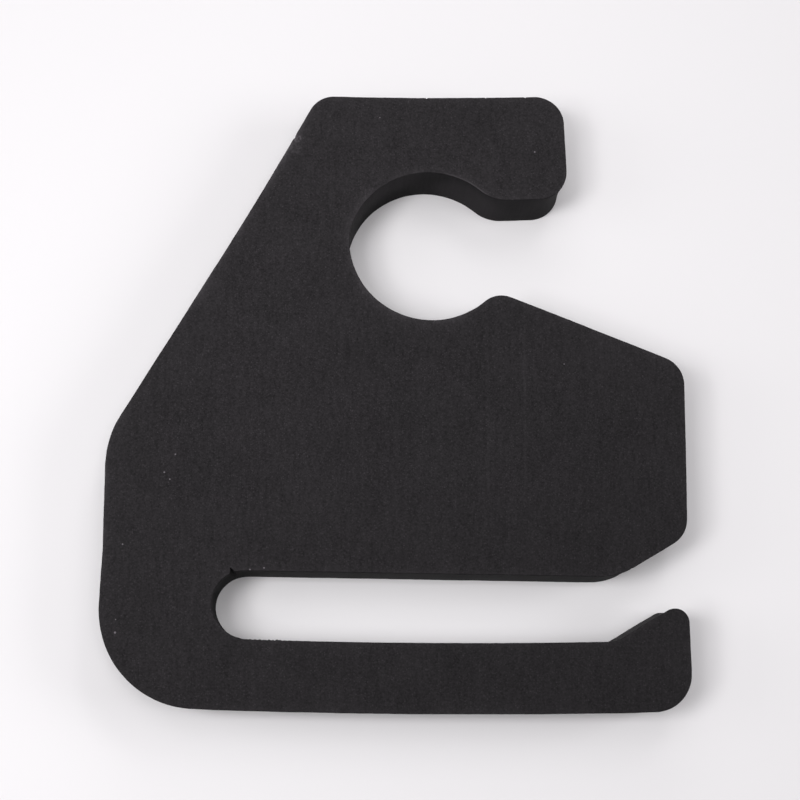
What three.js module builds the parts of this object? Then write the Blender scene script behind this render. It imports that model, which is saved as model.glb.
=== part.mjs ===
// Cut foam protector block: a C-shaped hook that clips round a tube, above a long
// slot that slides over a bar, all in one piece sawn from closed-cell foam sheet.
// Millimetres, +Z up. The block lies flat on Z = 0, centred on the origin.

import * as THREE from 'three';

// ---- Driving dimensions --------------------------------------------------------

const SHEET_THICKNESS = 30;

// Corners of the outline, clockwise from the back of the hook. X runs from the back
// edge and Y from the foot edge to where the two neighbouring edges would meet, and
// r rounds that corner.
const HOOK_BACK = { x: 90, y: 276.5, r: 12 };
const HOOK_FRONT = { x: 203, y: 279.5, r: 13 };
const HOOK_TIP = { x: 205, y: 230, r: 13.5 };
const NOSE_TOP = { x: 256, y: 152.5, r: 13 };
const NOSE_FOOT = { x: 255, y: 76, r: 12.5 };
const SLOT_MOUTH_TOP = { x: 224, y: 57.5, r: 27 };
const SLOT_END_TOP = { x: 43, y: 58.5, r: 14 };
const SLOT_END_FOOT = { x: 52.5, y: 29, r: 17 };
const SLOT_MOUTH_FOOT = { x: 222.5, y: 29.5, r: 4.5 };
const ARM_TIP = { x: 254.5, y: 48.5, r: 6 };
const ARM_FOOT = { x: 255, y: 0, r: 16.5 };
const HEEL = { x: 0, y: 0, r: 42.5 };
const BACK_FOOT = { x: 1.5, y: 67, r: 60 };
const BACK_TOP = { x: 0.5, y: 115, r: 42 };
const SLOPE_BEND = { x: 51.5, y: 204.5, r: 80 };

// The round seat for the tube. The sawn opening is two arcs of one radius, the upper
// one a little lower than the lower one, so it is slightly flatter than a circle.
const SEAT_RADIUS = 37;
const SEAT_LOWER_CENTRE = { x: 142, y: 208 };
const SEAT_UPPER_CENTRE = { x: 141.5, y: 204 };
const SEAT_BACK_RADIUS = 16;
const UPPER_LIP_RADIUS = 18;
const LOWER_LIP_RADIUS = 11.5;

// Where the straight underside of the hook and the slope above the nose, carried on
// towards the seat, pass.
const UNDERSIDE_INNER = { x: 165, y: 228 };
const NOSE_SLOPE_INNER = { x: 173, y: 184.5 };

// How far the middle of each long sawn edge stands out from a straight line. A
// negative crown is hollow.
const TOP_CROWN = -0.6;
const SLOT_FLOOR_CROWN = -1.1;
const FOOT_CROWN = 1.3;
const SLOPE_CROWN = -0.3;

const ARC_STEP = THREE.MathUtils.degToRad(4);
const CROWN_STEPS = 10;
const SMALLEST_STEP = 0.01;

// ---- Outline -------------------------------------------------------------------

const point = ({ x, y }) => new THREE.Vector2(x, y);
const direction = (from, to) => point(to).sub(point(from)).normalize();
const outwardOf = (along) => new THREE.Vector2(-along.y, along.x);
const offset = (from, along, distance) => point(from).addScaledVector(along, distance);

// Points along an arc from one point to another, the short way round or the way given.
function arcPoints(centre, from, to, turn = 0) {
  const start = point(from).sub(centre).angle();
  let sweep = point(to).sub(centre).angle() - start;
  if (turn > 0 && sweep < 0) sweep += 2 * Math.PI;
  if (turn === 0 && sweep > Math.PI) sweep -= 2 * Math.PI;
  if (turn === 0 && sweep < -Math.PI) sweep += 2 * Math.PI;
  const radius = centre.distanceTo(from);
  const end = start + sweep;
  const arc = new THREE.EllipseCurve(centre.x, centre.y, radius, radius, start, end, sweep < 0);
  return arc.getPoints(Math.max(2, Math.ceil(Math.abs(sweep) / ARC_STEP)));
}

// The arc that rounds a corner, between the edges that arrive from one point and
// leave to another.
function roundedCorner(before, corner, after) {
  const arriving = direction(before, corner);
  const leaving = direction(corner, after);
  const turn = Math.atan2(arriving.cross(leaving), arriving.dot(leaving));
  const reach = Math.abs(corner.r * Math.tan(turn / 2));
  const start = offset(corner, arriving, -reach);
  const end = offset(corner, leaving, reach);
  const centre = offset(start, outwardOf(arriving), Math.sign(turn) * corner.r);
  return arcPoints(centre, start, end);
}

// Points between the ends of a long edge whose middle stands out by its crown.
function crownedEdge(from, to, crown) {
  const middle = point(from).add(to).multiplyScalar(0.5);
  const outward = outwardOf(direction(from, to));
  const control = offset(middle, outward, 2 * crown);
  return new THREE.QuadraticBezierCurve(from, control, to).getPoints(CROWN_STEPS).slice(1, -1);
}

// The centre of a lip's rounding: it touches a straight edge, which runs along the
// given way with the foam on its right, and the outside of a seat arc.
function lipCentre(onEdge, along, lipRadius, seatCentre, side) {
  const start = offset(onEdge, outwardOf(along), -lipRadius);
  const away = point(start).sub(point(seatCentre));
  const middle = -away.dot(along);
  const reach = Math.sqrt(
    middle ** 2 - away.lengthSq() + (SEAT_RADIUS + lipRadius) ** 2,
  );
  return offset(start, along, middle + side * reach);
}

// The seat from the underside of the hook to the slope above the nose.
function seatOutline() {
  const upper = point(SEAT_UPPER_CENTRE);
  const lower = point(SEAT_LOWER_CENTRE);

  const inwards = direction(HOOK_TIP, UNDERSIDE_INNER);
  const upperLip = lipCentre(HOOK_TIP, inwards, UPPER_LIP_RADIUS, upper, -1);
  const upperLipStart = offset(upperLip, outwardOf(inwards), UPPER_LIP_RADIUS);
  const upperLipEnd = offset(upper, direction(upper, upperLip), SEAT_RADIUS);

  const outwards = direction(NOSE_SLOPE_INNER, NOSE_TOP);
  const lowerLip = lipCentre(NOSE_SLOPE_INNER, outwards, LOWER_LIP_RADIUS, lower, 1);
  const lowerLipStart = offset(lower, direction(lower, lowerLip), SEAT_RADIUS);
  const lowerLipEnd = offset(lowerLip, outwardOf(outwards), LOWER_LIP_RADIUS);

  const apart = upper.distanceTo(lower) / 2;
  const between = point(upper).add(lower).multiplyScalar(0.5);
  const backwards = outwardOf(direction(upper, lower));
  const backReach = Math.sqrt((SEAT_RADIUS - SEAT_BACK_RADIUS) ** 2 - apart ** 2);
  const backCentre = offset(between, backwards, backReach);
  const backStart = offset(upper, direction(upper, backCentre), SEAT_RADIUS);
  const backEnd = offset(lower, direction(lower, backCentre), SEAT_RADIUS);

  return [
    ...arcPoints(upperLip, upperLipStart, upperLipEnd),
    ...arcPoints(upper, upperLipEnd, backStart, 1),
    ...arcPoints(backCentre, backStart, backEnd, 1),
    ...arcPoints(lower, backEnd, lowerLipStart, 1),
    ...arcPoints(lowerLip, lowerLipStart, lowerLipEnd),
  ];
}

function blockOutline() {
  const hookBack = roundedCorner(SLOPE_BEND, HOOK_BACK, HOOK_FRONT);
  const hookFront = roundedCorner(HOOK_BACK, HOOK_FRONT, HOOK_TIP);
  const slotEndFoot = roundedCorner(SLOT_END_TOP, SLOT_END_FOOT, SLOT_MOUTH_FOOT);
  const slotMouthFoot = roundedCorner(SLOT_END_FOOT, SLOT_MOUTH_FOOT, ARM_TIP);
  const armFoot = roundedCorner(ARM_TIP, ARM_FOOT, HEEL);
  const heel = roundedCorner(ARM_FOOT, HEEL, BACK_FOOT);
  const slopeBend = roundedCorner(BACK_TOP, SLOPE_BEND, HOOK_BACK);
  const points = [
    ...hookBack,
    ...crownedEdge(hookBack.at(-1), hookFront[0], TOP_CROWN),
    ...hookFront,
    ...roundedCorner(HOOK_FRONT, HOOK_TIP, UNDERSIDE_INNER),
    ...seatOutline(),
    ...roundedCorner(NOSE_SLOPE_INNER, NOSE_TOP, NOSE_FOOT),
    ...roundedCorner(NOSE_TOP, NOSE_FOOT, SLOT_MOUTH_TOP),
    ...roundedCorner(NOSE_FOOT, SLOT_MOUTH_TOP, SLOT_END_TOP),
    ...roundedCorner(SLOT_MOUTH_TOP, SLOT_END_TOP, SLOT_END_FOOT),
    ...slotEndFoot,
    ...crownedEdge(slotEndFoot.at(-1), slotMouthFoot[0], SLOT_FLOOR_CROWN),
    ...slotMouthFoot,
    ...roundedCorner(SLOT_MOUTH_FOOT, ARM_TIP, ARM_FOOT),
    ...armFoot,
    ...crownedEdge(armFoot.at(-1), heel[0], FOOT_CROWN),
    ...heel,
    ...roundedCorner(HEEL, BACK_FOOT, BACK_TOP),
    ...roundedCorner(BACK_FOOT, BACK_TOP, SLOPE_BEND),
    ...slopeBend,
    ...crownedEdge(slopeBend.at(-1), hookBack[0], SLOPE_CROWN),
  ];
  const apart = (p, i) => p.distanceTo(points.at(i - 1)) > SMALLEST_STEP;
  return new THREE.Shape(points.filter(apart));
}

// ---- Foam block ----------------------------------------------------------------

function foamBlock() {
  const geometry = new THREE.ExtrudeGeometry(blockOutline(), {
    depth: SHEET_THICKNESS,
    bevelEnabled: false,
  });
  geometry.computeBoundingBox();
  const centre = geometry.boundingBox.getCenter(new THREE.Vector3());
  geometry.translate(-centre.x, -centre.y, 0);
  const foam = new THREE.MeshStandardMaterial({ color: 0x29282b, roughness: 0.95, metalness: 0 });
  const block = new THREE.Mesh(geometry, foam);
  block.name = 'foam_block';
  return block;
}

const protector = new THREE.Group();
protector.add(foamBlock());

export default protector;
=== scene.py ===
# Looks of the foam protector block: one block sawn from black closed-cell foam sheet,
# lying on a pale table. Metres, in the CAD model's frame: X runs out of the mouths of
# the round seat and the slot, Y from the slotted foot to the hook, Z up.

import math

import bpy
import numpy as np
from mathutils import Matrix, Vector, geometry, kdtree, noise


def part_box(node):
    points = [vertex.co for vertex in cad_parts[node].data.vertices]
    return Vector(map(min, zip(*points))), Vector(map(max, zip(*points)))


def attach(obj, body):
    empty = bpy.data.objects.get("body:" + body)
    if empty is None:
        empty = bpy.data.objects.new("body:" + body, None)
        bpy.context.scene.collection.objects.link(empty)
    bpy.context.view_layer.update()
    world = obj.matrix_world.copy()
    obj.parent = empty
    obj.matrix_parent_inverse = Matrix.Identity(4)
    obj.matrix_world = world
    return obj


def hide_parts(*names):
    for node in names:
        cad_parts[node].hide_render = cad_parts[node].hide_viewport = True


MM = 0.001

# ---- Camera and light ----------------------------------------------------------

CAMERA_PLACE = (-0.0315, -0.1404, 0.6690)
CAMERA_TURN = (11.956, -2.920, 0.384)
CAMERA_LENS = 66.6

# Soft boxes: name, place, the point it faces, width and height, power in watts.
SOFT_BOXES = (
    ("overhead_left", (-0.46, -0.10, 1.00), (-0.46, -0.10, 0), (0.45, 0.2), 4.8),
    ("overhead_front", (-0.64, -0.30, 1.00), (-0.64, -0.30, 0), (0.35, 0.2), 2.2),
    ("overhead_right", (0.06, -0.14, 1.00), (0.06, -0.14, 0), (0.3, 0.3), 1.8),
    ("overhead_middle", (-0.20, 0.20, 1.00), (-0.20, 0.20, 0), (0.4, 0.4), 1.35),
    ("back_corner", (0.30, 0.64, 1.00), (0.30, 0.64, 0), (0.2, 0.4), 1.5),
    ("left_fill", (-1.04, 0, 0.60), (0, 0, 0), (0.6, 0.6), 1.95),
    ("right_fill", (0.98, 0, 0.69), (0, 0, 0), (0.6, 0.6), 4.15),
    ("back_near", (0, 0.57, 0.40), (0, 0, 0), (0.4, 0.4), 0.65),
)
AMBIENT = (1.0, 0.96, 0.99)
AMBIENT_STRENGTH = 0.11

# A glowing wall stands round the studio, brightest where the table reaches it.
WALL_DISTANCE = 2.5
WALL_HEIGHT = 1.5
WALL_SIDES = 64
WALL_GLOW = 0.65
WALL_GLOW_HEIGHT = 0.56

# How far the table lies below the block, so that their faces don't coincide.
TABLE_GAP = 0.1 * MM
TABLE_COLOUR = (0.80, 0.783, 0.80, 1)

# ---- Shape of the sawn block ---------------------------------------------------

# The outline is softened at a fine spacing, then kept at a coarser one.
OUTLINE_FINE = 0.1 * MM
OUTLINE_SOFTENING = 0.5 * MM
OUTLINE_STEP = 1.0 * MM

RIM_RADIUS = 0.3 * MM
RIM_ROWS = 4
WALL_ROWS = 14

# The step of the grid of points inside a face, and how many steps clear of the outline
# they stay.
FACE_GRID = 2.2 * MM
FACE_CLEARANCE = 0.7

# The sheet's faces roll off towards the rims, where the saw pressed the foam down.
ROLL_ROWS = 6
ROLL_REACH = 5 * MM
ROLL_DROP = 0.22 * MM
ROLL_LENGTH = 1.6 * MM

# How far the sawn walls stand outside the CAD outline, how far the saw wandered on
# them over a long and a short distance, and how far a wall bulges at half height.
STAND_OUT = 0.13 * MM
WANDER = ((0.10 * MM, 16 * MM), (0.06 * MM, 2.6 * MM))
WANDER_HEIGHT = 45 * MM
BULGE = 0.10 * MM

# The blade bowed round the outer corners, so a wall is waisted at half height there:
# the most it is waisted by, the corner radius that takes, and how gently it comes in.
CORNER_WAIST = 0.85 * MM
CORNER_RADIUS = 20 * MM
CORNER_EASE = 3 * MM

# How far the sheet's upper face swells, and over what distance.
SWELL = 0.12 * MM
SWELL_LENGTH = 38 * MM

# Nicks in the walls: place on the upper rim, half width, depth, and the share of that
# depth left at the lower rim. A nick's dent dies away over NICK_FADE inside the rim.
NICKS = (
    ((-71.3 * MM, -81.6 * MM), 0.80 * MM, 2.5 * MM, 0.0),
    ((-48.6 * MM, 117.2 * MM), 0.80 * MM, 0.35 * MM, 0.0),
    ((57.4 * MM, 140.3 * MM), 0.40 * MM, 0.60 * MM, 0.0),
    ((39.0 * MM, 139.3 * MM), 0.35 * MM, 0.30 * MM, 0.0),
    ((11.6 * MM, 138.3 * MM), 0.35 * MM, 0.45 * MM, 0.0),
    ((101.8 * MM, -77.8 * MM), 0.50 * MM, 0.40 * MM, 0.2),
    ((110.2 * MM, -73.1 * MM), 0.40 * MM, 0.35 * MM, 0.0),
)
NICK_FADE = 2 * MM

# The outline's spacing at a nick, how far round the nick it holds, and how many times
# slower than the distance it grows beyond that.
NICK_STEP = 0.12 * MM
NICK_REACH = 1 * MM
NICK_SPREAD = 6

# A ragged stretch of the slot's lower rim: its middle, reach, roughness and grain, how
# sharply it dies away down the wall, and the line through the noise that it follows.
RAGGED = ((-54 * MM, -110.4 * MM), 18 * MM, 0.5 * MM, 0.9 * MM)
RAGGED_FADE = 6
RAGGED_LINE = (0.3, 0.7)
RAGGED_STEP = 0.25 * MM

# The faces are paler beside the rims, partly abraded skin and partly a painted highlight where
# the rims catch the light, over this distance.
RIM_PALENESS_LENGTH = 1.6 * MM


def outline_of(cad_node):
    """The node's outline on its upper face, as one anticlockwise loop, from its walls."""
    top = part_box(cad_node.name)[1].z
    places = cad_node.data.vertices
    following = {}
    for face in cad_node.data.polygons:
        rim = [places[v].co.xy for v in face.vertices if places[v].co.z > top - OUTLINE_FINE]
        if abs(face.normal.z) > 0.5 or len(rim) != 2:
            continue
        ahead = Vector((-face.normal.y, face.normal.x))
        start, end = sorted(rim, key=ahead.dot)
        following[start.to_tuple(6)] = end.to_tuple(6)
    loop = [next(iter(following))]
    while following[loop[-1]] != loop[0]:
        loop.append(following[loop[-1]])
    return np.array(loop)


def blurred(values, step, length):
    """Values at an even step round a closed loop, smoothed over a length."""
    waves = np.fft.fftfreq(len(values), step)
    blur = np.exp(-2 * (math.pi * waves * length) ** 2)
    return np.fft.ifft(np.fft.fft(values) * blur)


def softened(loop):
    """The loop at a fine, even spacing, with its facets smoothed away."""
    ends = np.roll(loop, -1, axis=0)
    along = np.concatenate(([0], np.cumsum(np.linalg.norm(ends - loop, axis=1))))
    closed = np.vstack((loop, loop[:1]))
    places = np.linspace(0, along[-1], round(along[-1] / OUTLINE_FINE), endpoint=False)
    points = np.interp(places, along, closed[:, 0]) + 1j * np.interp(places, along, closed[:, 1])
    return blurred(points, along[-1] / len(points), OUTLINE_SOFTENING)


def spaced(fine):
    """Points, outward normals and waists round the loop, closer together at the nicks."""
    ahead = np.roll(fine, -1) - np.roll(fine, 1)
    outward = -1j * ahead / abs(ahead)
    nicks = np.array([complex(*place) for place, *_ in NICKS])
    nearest = abs(fine[:, None] - nicks).min(axis=1)
    steps = NICK_STEP + (nearest - NICK_REACH) / NICK_SPREAD
    steps = np.clip(steps, NICK_STEP, OUTLINE_STEP)
    ragged = abs(fine - complex(*RAGGED[0])) < RAGGED[1]
    steps[ragged] = np.minimum(steps[ragged], RAGGED_STEP)
    lengths = abs(np.roll(fine, -1) - fine)
    count = np.concatenate(([0], np.cumsum(lengths / steps)))
    wanted = np.linspace(0, count[-1], math.ceil(count[-1]), endpoint=False)
    points = np.interp(wanted, count, np.append(fine, fine[0]))
    normals = np.interp(wanted, count, np.append(outward, outward[0]))
    turns = np.angle(np.roll(outward, -1) / outward) / lengths
    bends = blurred(turns, lengths.mean(), CORNER_EASE).real
    bends = np.interp(wanted, count, np.append(bends, bends[0]))
    waists = CORNER_WAIST * np.clip(bends * CORNER_RADIUS, 0, 1)
    return points, normals / abs(normals), waists


def bite(point, height_share):
    """How far the nicks reach into the wall at a point on the outline."""
    deepest = 0
    for place, half_width, depth, kept in NICKS:
        share = kept + (1 - kept) * height_share ** 2
        reach = abs(point - complex(*place)) / half_width
        deepest = max(deepest, depth * share * math.exp(-reach * reach))
    return deepest


def wander(point, height_share, thickness):
    """How far a wall stands out at a point on the outline and a share of the height."""
    out = STAND_OUT + BULGE * math.sin(math.pi * height_share)
    for amount, length in WANDER:
        height = height_share * thickness / WANDER_HEIGHT
        out += amount * noise.noise(Vector((point.real / length, point.imag / length, height)))
    middle, reach, amount, length = RAGGED
    share = max(0, 1 - abs(point - complex(*middle)) / reach) * height_share ** RAGGED_FADE
    return out + amount * share * noise.noise(Vector((point.real / length, *RAGGED_LINE)))


def rolled(inset):
    """How far the sheet's face has dropped at a distance inside the rim."""
    return ROLL_DROP * math.exp(-inset / ROLL_LENGTH)


def profile(thickness):
    """Inset and height of each row of the section, from the upper face to the lower."""
    rows = []
    for step in range(ROLL_ROWS, 0, -1):
        inset = RIM_RADIUS + ROLL_REACH * (step / ROLL_ROWS) ** 2
        rows.append((inset, thickness - rolled(inset)))
    rim_height = thickness - rolled(RIM_RADIUS)
    for step in range(RIM_ROWS + 1):
        turn = 0.5 * math.pi * step / RIM_ROWS
        inset = RIM_RADIUS * (1 - math.sin(turn))
        rows.append((inset, rim_height - RIM_RADIUS * (1 - math.cos(turn))))
    low, high = thickness - rows[-1][1], rows[-1][1]
    upper = list(rows)
    for step in range(1, WALL_ROWS):
        rows.append((0, high + (low - high) * step / WALL_ROWS))
    return rows + [(inset, thickness - z) for inset, z in reversed(upper)]


def inside(points, loop):
    """Which points lie inside the loop."""
    x, y = points[:, :1], points[:, 1:]
    ends = np.roll(loop, -1, axis=0)
    crosses = (loop[:, 1] > y) != (ends[:, 1] > y)
    rise = np.where(ends[:, 1] == loop[:, 1], 1, ends[:, 1] - loop[:, 1])
    at = loop[:, 0] + (y - loop[:, 1]) * (ends[:, 0] - loop[:, 0]) / rise
    return (crosses & (x < at)).sum(axis=1) % 2 == 1


def face_points(loop):
    """Points of an even triangular grid inside the loop, clear of its edge."""
    near = kdtree.KDTree(len(loop))
    for index, point in enumerate(loop):
        near.insert((*point, 0), index)
    near.balance()
    low, high = loop.min(axis=0), loop.max(axis=0)
    found = []
    for row, y in enumerate(np.arange(low[1], high[1], FACE_GRID * math.sin(math.pi / 3))):
        across = np.arange(low[0] + FACE_GRID / 2 * (row % 2), high[0], FACE_GRID)
        line = np.column_stack((across, np.full(len(across), y)))
        for point in line[inside(line, loop)]:
            if near.find((*point, 0))[2] > FACE_CLEARANCE * FACE_GRID:
                found.append(point)
    return np.array(found)


def fill(loop, grid):
    """Triangles between the loop and the grid inside it, as numbers into both."""
    count = len(loop)
    places = [Vector(p) for p in np.vstack((loop, grid)) / MM]
    edges = [(i, (i + 1) % count) for i in range(count)]
    _, _, faces, origins, _, _ = geometry.delaunay_2d_cdt(places, edges, [], 1, 1e-6)
    return [tuple(origins[v][0] for v in face) for face in faces]


def swollen(x, y, z, thickness):
    """A point moved with the sheet's uneven upper face."""
    place = Vector((x / SWELL_LENGTH, y / SWELL_LENGTH, 0.5))
    return x, y, z * (1 + SWELL / thickness * noise.noise(place))


def foam_mesh(cad_node):
    """The sawn block: rounded rims, walls where the saw wandered, a face that swells."""
    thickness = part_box(cad_node.name)[1].z
    points, normals, waists = spaced(softened(outline_of(cad_node)))
    rows = profile(thickness)
    count = len(points)
    vertices, faces, sawn, edge = [], [], [], []
    for inset, z in rows:
        share = z / thickness
        for p, n, waist in zip(points, normals, waists):
            dent = bite(p, share) * math.exp(-inset / NICK_FADE)
            dent += waist * math.sin(math.pi * share)
            q = p + (wander(p, share, thickness) - inset - dent) * n
            vertices.append((q.real, q.imag, z))
        sawn += [1 - min(inset / RIM_RADIUS, 1)] * count
        edge += [math.exp(-inset / RIM_PALENESS_LENGTH)] * count
    for row in range(len(rows) - 1):
        for i in range(count):
            a, b = row * count + i, row * count + (i + 1) % count
            faces.append((a, a + count, b + count, b))
    for row, height, flip in ((0, thickness, False), (len(rows) - 1, 0, True)):
        loop = np.array([v[:2] for v in vertices[row * count:(row + 1) * count]])
        grid = face_points(loop)
        first = len(vertices)
        vertices += [(x, y, height) for x, y in grid]
        sawn += [0] * len(grid)
        edge += [0] * len(grid)
        for face in fill(loop, grid):
            corners = [row * count + v if v < count else first + v - count for v in face]
            faces.append(corners[::-1] if flip else corners)
    mesh = bpy.data.meshes.new("foam_block_sawn")
    mesh.from_pydata([swollen(*v, thickness) for v in vertices], [], faces)
    mesh.attributes.new("sawn", "FLOAT", "POINT").data.foreach_set("value", sawn)
    mesh.attributes.new("edge", "FLOAT", "POINT").data.foreach_set("value", edge)
    mesh.shade_smooth()
    return mesh


# ---- Materials -----------------------------------------------------------------

FOAM_COLOUR = (0.0176, 0.0160, 0.0176)
SKIN_TONE = 0.95
SAWN_TONE = 0.70
LEAST_TONE = 0.2

# The closed cells: their size, how far out from its middle an opened cell is bright, how
# few are, and how bright.
CELL_SIZE = 0.8 * MM
CELL_BRIGHT = (0.1, 0.55)
CELL_RARENESS = 3
CELL_TONE = 1.1

# The foam's grain: each noise's size and detail, and how much it changes the tone.
GRAIN = (0.8 * MM, 4.0)
GRAIN_TONE = 2.0
DRAWN = (1.7 * MM, 3.0)
DRAWN_TONE = 0.6
MOTTLE = (26 * MM, 2.0)
MOTTLE_TONE = 0.4
SAW_MARKS = (1.4 * MM, 3.0)
SAW_MARK_TONE = 0.5

# How the drawn grain is stretched along the block, and the saw marks up the walls.
DRAWN_STRETCH = (1, 0.18, 1)
SAW_STRETCH = (1, 1, 0.04)

# How much of the grain shows on the sawn walls, in colour and in relief.
SAWN_GRAIN = 0.35
SAWN_PITS = 0.4

# How rough the foam is, and how much that varies with the grain.
ROUGHNESS = 0.9
ROUGH_GRAIN = 0.3

# The relief's depth and strength, and the grain's share of it against the cells.
RELIEF = 0.12 * MM
RELIEF_STRENGTH = 0.6
RELIEF_GRAIN = 1.5

# Dust flecks on the sheet: how bright, then each one's place and radius.
FLECK_TONE = 6.0
FLECKS = (
    ((-120.0 * MM, -107.5 * MM), 0.60 * MM),
    ((-120.0 * MM, -102.0 * MM), 0.35 * MM),
    ((-118.5 * MM, -70.0 * MM), 0.45 * MM),
    ((-97.5 * MM, -30.5 * MM), 0.45 * MM),
    ((-102.0 * MM, -38.5 * MM), 0.45 * MM),
    ((-99.5 * MM, -41.5 * MM), 0.45 * MM),
    ((73.5 * MM, 13.0 * MM), 0.35 * MM),
    ((-10.0 * MM, 128.0 * MM), 0.35 * MM),
    ((61.5 * MM, 113.1 * MM), 0.50 * MM),
    ((-57.8 * MM, -79.4 * MM), 0.45 * MM),
    ((-63.8 * MM, -80.2 * MM), 0.45 * MM),
)

# Pale patches at the nick in the slanted edge: place, radius and level. A noise of this
# size breaks them up: from its first value to its second, the share of a patch that
# shows goes from the third to the fourth.
RUB_GRAIN = 1.5 * MM
RUB_BREAKS = (0.38, 0.62, 0.1, 1.7)
RUBS = (
    ((-47.6 * MM, 116.8 * MM), 2.4 * MM, 1.6),
    ((-48.4 * MM, 111.8 * MM), 4.0 * MM, 0.45),
)

# How pale the rims are, partly abraded skin and partly a painted highlight where they catch the
# light: everywhere, and round some places on the block. A noise varies it, as one breaks up the
# patches.
RIM_PALENESS_GRAIN = 7 * MM
RIM_PALENESS_VARIES = (0.3, 0.7, 0.5, 1.5)
RIM_WEAR_AND_HIGHLIGHT = 0.15
WORN_AND_LIT_RIMS = (
    ((-72 * MM, 78 * MM), 70 * MM, 1.10),
    ((-127 * MM, -45 * MM), 60 * MM, 0.60),
    ((12 * MM, 34 * MM), 45 * MM, 0.85),
    ((10 * MM, 138 * MM), 90 * MM, 0.35),
    ((85 * MM, 38 * MM), 55 * MM, 0.30),
    ((0 * MM, -110 * MM), 120 * MM, 0.12),
)

# A painted highlight along the burr on the rim over the seat: place, reach and level, and how
# much thinner a line it is than the pale rims.
BURR_HIGHLIGHT = ((30.5 * MM, 97.6 * MM), 14 * MM, 4.5)
BURR_HIGHLIGHT_THINNESS = 6

# Painted light and shade on the sawn walls, paler where they face the light, darker where they
# face away and low in the inner corners: place, radius and level.
PAINTED_WALL_LIGHT_AND_SHADE = (
    ((33 * MM, 96 * MM, 10 * MM), 22 * MM, 0.65),
    ((-24 * MM, 62 * MM, 15 * MM), 28 * MM, 0.30),
    ((-9 * MM, 95 * MM, 30 * MM), 26 * MM, 0.42),
    ((-8 * MM, 96 * MM, 0), 22 * MM, -0.30),
    ((-71 * MM, -84 * MM, 10 * MM), 20 * MM, -0.50),
    ((-54 * MM, -81 * MM, 5 * MM), 26 * MM, -0.20),
    ((-80 * MM, -97 * MM, 20 * MM), 18 * MM, 0.30),
    ((110 * MM, -101 * MM, 20 * MM), 28 * MM, 0.65),
)

# Painted light falloff on the sheet's face: how much paler it is painted towards the hook and
# darker towards the mouths, per metre.
PAINTED_LIGHT_ALONG = 1.1
PAINTED_SHADE_ACROSS = 0.6

# The sheet's faint lighter streaks: how much paler, then each one's place across the
# block, half width, the middle of its run along the block, and half the run's length.
STREAK_TONE = 0.16
STREAKS = (
    (39.2 * MM, 1.3 * MM, -10 * MM, 48 * MM),
    (55.7 * MM, 1.1 * MM, -10 * MM, 50 * MM),
)


class Shading:
    """A material under construction. Its methods add nodes and return the last one's output."""

    def __init__(self, name):
        self.material = bpy.data.materials.new(name)
        self.material.use_nodes = True
        self.tree = self.material.node_tree
        self.shader = self.tree.nodes["Principled BSDF"]

    def add(self, kind, sockets, output=0, **settings):
        made = self.tree.nodes.new(kind)
        for name, value in settings.items():
            setattr(made, name, value)
        for name, value in sockets.items():
            if isinstance(value, bpy.types.NodeSocket):
                self.tree.links.new(value, made.inputs[name])
            else:
                made.inputs[name].default_value = value
        return made.outputs[output]

    def maths(self, operation, first, second):
        return self.add("ShaderNodeMath", {0: first, 1: second}, operation=operation)

    def noise(self, place, size, detail=2.0):
        sockets = {"Vector": place, "Scale": 1 / size, "Detail": detail}
        return self.add("ShaderNodeTexNoise", sockets)

    def varied(self, value, amount):
        """A noise's value as a change of tone, up and down by half the amount."""
        return self.maths("MULTIPLY", self.maths("SUBTRACT", value, 0.5), amount)

    def stretched(self, place, scale):
        return self.add("ShaderNodeVectorMath", {0: place, 1: scale}, operation="MULTIPLY")

    def ramp(self, value, start, end, low, high):
        """The value from start to end, eased to run from low to high."""
        sockets = {0: value, 1: start, 2: end, 3: low, 4: high}
        return self.add("ShaderNodeMapRange", sockets, interpolation_type="SMOOTHSTEP")

    def near(self, place, spot, radius, level):
        """The level within half a radius of a spot, eased to nothing at the radius."""
        sockets = {0: place, 1: Vector(spot).to_3d()}
        away = self.add("ShaderNodeVectorMath", sockets, "Value", operation="DISTANCE")
        return self.ramp(away, 0.5 * radius, radius, level, 0)

    def blend(self, share, low, high):
        return self.add("ShaderNodeMix", {0: share, 2: low, 3: high})

    def scaled_colour(self, colour, tone):
        sockets = {0: colour, "Scale": tone}
        return self.add("ShaderNodeVectorMath", sockets, operation="SCALE")

    def surface(self, **sockets):
        """The finished material, with its shader's sockets set or linked."""
        for name, value in sockets.items():
            socket = self.shader.inputs[name.replace("_", " ")]
            if isinstance(value, bpy.types.NodeSocket):
                self.tree.links.new(value, socket)
            else:
                socket.default_value = value
        return self.material


def wall_material():
    wall = Shading("studio_wall")
    place = wall.add("ShaderNodeTexCoord", {}, "Object")
    height = wall.add("ShaderNodeSeparateXYZ", {0: place}, "Z")
    return wall.surface(
        Base_Color=(0, 0, 0, 1),
        Specular_IOR_Level=0,
        Emission_Color=(*AMBIENT, 1),
        Emission_Strength=wall.ramp(height, 0, WALL_GLOW_HEIGHT, WALL_GLOW, AMBIENT_STRENGTH),
    )


def table_material():
    table = Shading("pale_table")
    return table.surface(
        Base_Color=TABLE_COLOUR, Roughness=0.6, Specular_IOR_Level=0.2
    )


def streaks(foam, across, along):
    """How much paler the sheet is at its streaks, which fade out at both ends."""
    total = 0.0
    for middle, half_width, centre, half_run in STREAKS:
        aside = foam.maths("ABSOLUTE", foam.maths("SUBTRACT", across, middle), 0)
        onward = foam.maths("ABSOLUTE", foam.maths("SUBTRACT", along, centre), 0)
        band = foam.ramp(aside, 0, half_width, STREAK_TONE, 0)
        run = foam.ramp(onward, 0.6 * half_run, half_run, 1, 0)
        total = foam.maths("ADD", foam.maths("MULTIPLY", band, run), total)
    return total


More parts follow.
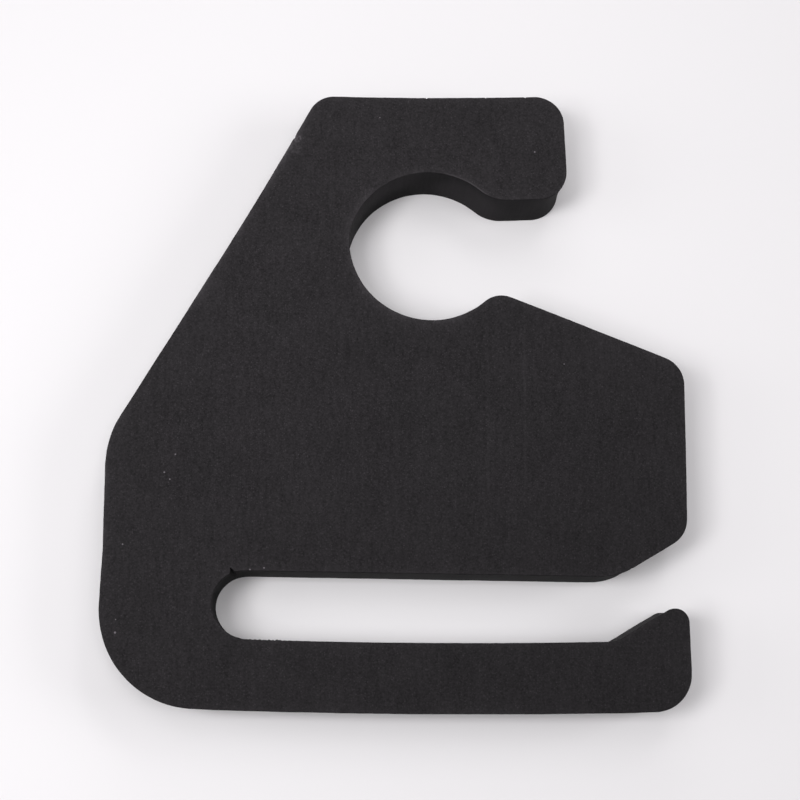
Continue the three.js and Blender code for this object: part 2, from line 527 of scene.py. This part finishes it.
def wear_dust_and_highlights(foam, place, flat, edge):
    """How much paler the sheet's skin is at its rims, its burr, its rubs and its dust: the rims
    partly abraded and partly a painted highlight, the burr a painted highlight.
    """
    # Pale rims: abraded skin and a painted highlight where they catch the light.
    rim_paleness = RIM_WEAR_AND_HIGHLIGHT
    for spot in WORN_AND_LIT_RIMS:
        rim_paleness = foam.maths("ADD", foam.near(flat, *spot), rim_paleness)
    uneven = foam.ramp(foam.noise(place, RIM_PALENESS_GRAIN), *RIM_PALENESS_VARIES)
    total = foam.maths("MULTIPLY", foam.maths("MULTIPLY", rim_paleness, uneven), edge)
    # A thin painted highlight along the burr.
    line = foam.maths("POWER", edge, BURR_HIGHLIGHT_THINNESS)
    total = foam.maths("ADD", total, foam.maths("MULTIPLY", foam.near(flat, *BURR_HIGHLIGHT), line))
    broken = foam.ramp(foam.noise(place, RUB_GRAIN), *RUB_BREAKS)
    for spot in RUBS:
        rub = foam.maths("MULTIPLY", foam.near(flat, *spot), broken)
        total = foam.maths("ADD", total, rub)
    for spot, radius in FLECKS:
        total = foam.maths("ADD", total, foam.near(flat, spot, radius, FLECK_TONE))
    return total


def foam_material():
    foam = Shading("closed_cell_foam")
    place = foam.add("ShaderNodeTexCoord", {}, "Object")
    flat = foam.stretched(place, (1, 1, 0))
    across = foam.add("ShaderNodeSeparateXYZ", {0: place}, "X")
    along = foam.add("ShaderNodeSeparateXYZ", {0: place}, "Y")
    sawn = foam.add("ShaderNodeAttribute", {}, "Fac", attribute_name="sawn")
    edge = foam.add("ShaderNodeAttribute", {}, "Fac", attribute_name="edge")

    # Closed cells, the brighter ones opened, over a fine, a drawn and a coarse grain.
    sockets = {"Vector": place, "Scale": 1 / CELL_SIZE}
    cell = foam.add("ShaderNodeTexVoronoi", sockets, "Distance")
    shade = foam.add("ShaderNodeTexVoronoi", sockets, "Color")
    chance = foam.add("ShaderNodeSeparateXYZ", {0: shade}, "X")
    bright = foam.maths("POWER", chance, CELL_RARENESS)
    dots = foam.maths("MULTIPLY", foam.ramp(cell, *CELL_BRIGHT, 1, 0), bright)
    grain = foam.noise(place, *GRAIN)
    drawn = foam.noise(foam.stretched(place, DRAWN_STRETCH), *DRAWN)
    mottle = foam.noise(place, *MOTTLE)
    tone = foam.varied(grain, GRAIN_TONE)
    tone = foam.maths("ADD", tone, foam.maths("MULTIPLY", dots, CELL_TONE))
    tone = foam.maths("ADD", tone, foam.varied(drawn, DRAWN_TONE))
    tone = foam.maths("ADD", tone, foam.varied(mottle, MOTTLE_TONE))
    tone = foam.maths("ADD", tone, streaks(foam, across, along))

    # The sheet's skin: a painted light falloff, paler towards the hook and darker towards the
    # mouths; abraded and dusty in places, with painted highlights on its rims and burr.
    fade = foam.maths("MULTIPLY", across, -PAINTED_SHADE_ACROSS)
    fade = foam.maths("ADD", foam.maths("MULTIPLY", along, PAINTED_LIGHT_ALONG), fade)
    skin = foam.maths("ADD", tone, SKIN_TONE)
    skin = foam.maths("MULTIPLY", skin, foam.maths("ADD", fade, 1.0))
    skin = foam.maths("ADD", skin, wear_dust_and_highlights(foam, place, flat, edge))

    # Sawn walls: denser and smoother, with upright saw marks and patches of painted light and
    # shade.
    marks = foam.noise(foam.stretched(place, SAW_STRETCH), *SAW_MARKS)
    cut = foam.maths("ADD", foam.maths("MULTIPLY", tone, SAWN_GRAIN), SAWN_TONE)
    cut = foam.maths("ADD", cut, foam.varied(marks, SAW_MARK_TONE))
    # Patches of painted light and shade where the walls face towards and away from the light.
    for spot in PAINTED_WALL_LIGHT_AND_SHADE:
        cut = foam.maths("ADD", cut, foam.near(place, *spot))
    tone = foam.maths("MAXIMUM", foam.blend(sawn, skin, cut), LEAST_TONE)

    pits = foam.maths("ADD", foam.maths("MULTIPLY", grain, RELIEF_GRAIN), cell)
    cut_pits = foam.maths("ADD", foam.maths("MULTIPLY", pits, SAWN_PITS), marks)
    relief = foam.blend(sawn, pits, cut_pits)
    sockets = {"Height": relief, "Strength": RELIEF_STRENGTH, "Distance": RELIEF}
    return foam.surface(
        Base_Color=foam.scaled_colour(FOAM_COLOUR, tone),
        Roughness=foam.maths("ADD", foam.varied(grain, ROUGH_GRAIN), ROUGHNESS),
        Specular_IOR_Level=0.15,
        Normal=foam.add("ShaderNodeBump", sockets),
    )


# ---- Scene ---------------------------------------------------------------------


def foam_block(cad_node):
    piece = bpy.data.objects.new("foam_block_sawn", foam_mesh(cad_node))
    bpy.context.scene.collection.objects.link(piece)
    piece.data.materials.append(foam_material())
    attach(piece, "root")
    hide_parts(cad_node.name)


def stage_mesh(name, vertices, faces, material):
    mesh = bpy.data.meshes.new(name)
    mesh.from_pydata(vertices, [], faces)
    mesh.materials.append(material)
    piece = bpy.data.objects.new(name, mesh)
    bpy.context.scene.collection.objects.link(piece)


def studio():
    """The table, and the wall that stands round it."""
    turns = [2 * math.pi * side / WALL_SIDES for side in range(WALL_SIDES)]
    ring = [(WALL_DISTANCE * math.cos(t), WALL_DISTANCE * math.sin(t)) for t in turns]
    foot = [(x, y, -TABLE_GAP) for x, y in ring]
    head = [(x, y, WALL_HEIGHT) for x, y in ring]
    stage_mesh("table", foot, [range(WALL_SIDES)], table_material())
    panels = []
    for side in range(WALL_SIDES):
        onward = (side + 1) % WALL_SIDES
        panels.append((side, side + WALL_SIDES, onward + WALL_SIDES, onward))
    stage_mesh("studio_wall", foot + head, panels, wall_material())


def camera():
    view = bpy.data.cameras.new("camera")
    view.lens = CAMERA_LENS
    view.sensor_width = 36
    view.clip_start = 0.01
    holder = bpy.data.objects.new("camera", view)
    holder.location = CAMERA_PLACE
    holder.rotation_euler = [math.radians(a) for a in CAMERA_TURN]
    bpy.context.scene.collection.objects.link(holder)
    bpy.context.scene.camera = holder


def soft_box(name, place, target, size, power):
    light = bpy.data.lights.new(name, "AREA")
    light.shape = "RECTANGLE"
    light.size, light.size_y = size
    light.energy = power
    holder = bpy.data.objects.new(name, light)
    holder.location = place
    facing = Vector(target) - Vector(place)
    holder.rotation_euler = facing.to_track_quat("-Z", "Y").to_euler()
    bpy.context.scene.collection.objects.link(holder)


def ambient():
    world = bpy.data.worlds.new("studio")
    world.use_nodes = True
    background = world.node_tree.nodes["Background"]
    background.inputs["Color"].default_value = (*AMBIENT, 1)
    background.inputs["Strength"].default_value = AMBIENT_STRENGTH
    bpy.context.scene.world = world


def corners(box):
    return [[round(x, 6) for x in corner] for corner in box]


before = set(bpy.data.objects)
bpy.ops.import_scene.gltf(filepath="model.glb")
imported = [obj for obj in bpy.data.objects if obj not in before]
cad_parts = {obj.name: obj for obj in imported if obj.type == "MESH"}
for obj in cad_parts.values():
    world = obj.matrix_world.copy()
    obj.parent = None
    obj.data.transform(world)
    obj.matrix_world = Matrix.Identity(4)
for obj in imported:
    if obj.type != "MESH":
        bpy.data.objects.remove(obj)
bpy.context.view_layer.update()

camera()
ambient()
for box in SOFT_BOXES:
    soft_box(*box)
bpy.context.scene.view_settings.view_transform = "Standard"

studio()
foam_block(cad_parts["foam_block"])
